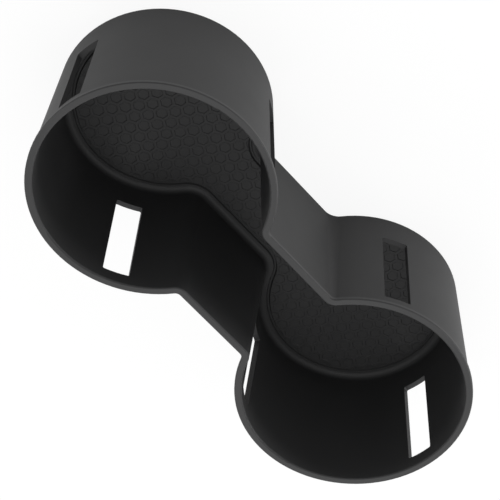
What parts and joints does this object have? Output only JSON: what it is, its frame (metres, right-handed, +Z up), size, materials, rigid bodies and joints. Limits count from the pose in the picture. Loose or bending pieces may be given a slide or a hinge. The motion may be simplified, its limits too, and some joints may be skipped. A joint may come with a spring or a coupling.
{
  "type": "car cup holder insert",
  "caption": "Black moulded insert for a car console, with round open cups joined by a neck, slots through the walls and a honeycomb floor, to hold drinks upright.",
  "frame": {"origin": "middle of the neck on the base plane, under the centre of the bounding box", "axes": "+X along the line through both cups, +Y across the neck, +Z up towards the open mouth"},
  "size_m": [0.1922, 0.084, 0.057],
  "materials": {
    "moulded_body": "satin"
  },
  "bodies": {
    "root": {"cup_holder_insert": "moulded_body"}
  },
  "joints": []
}
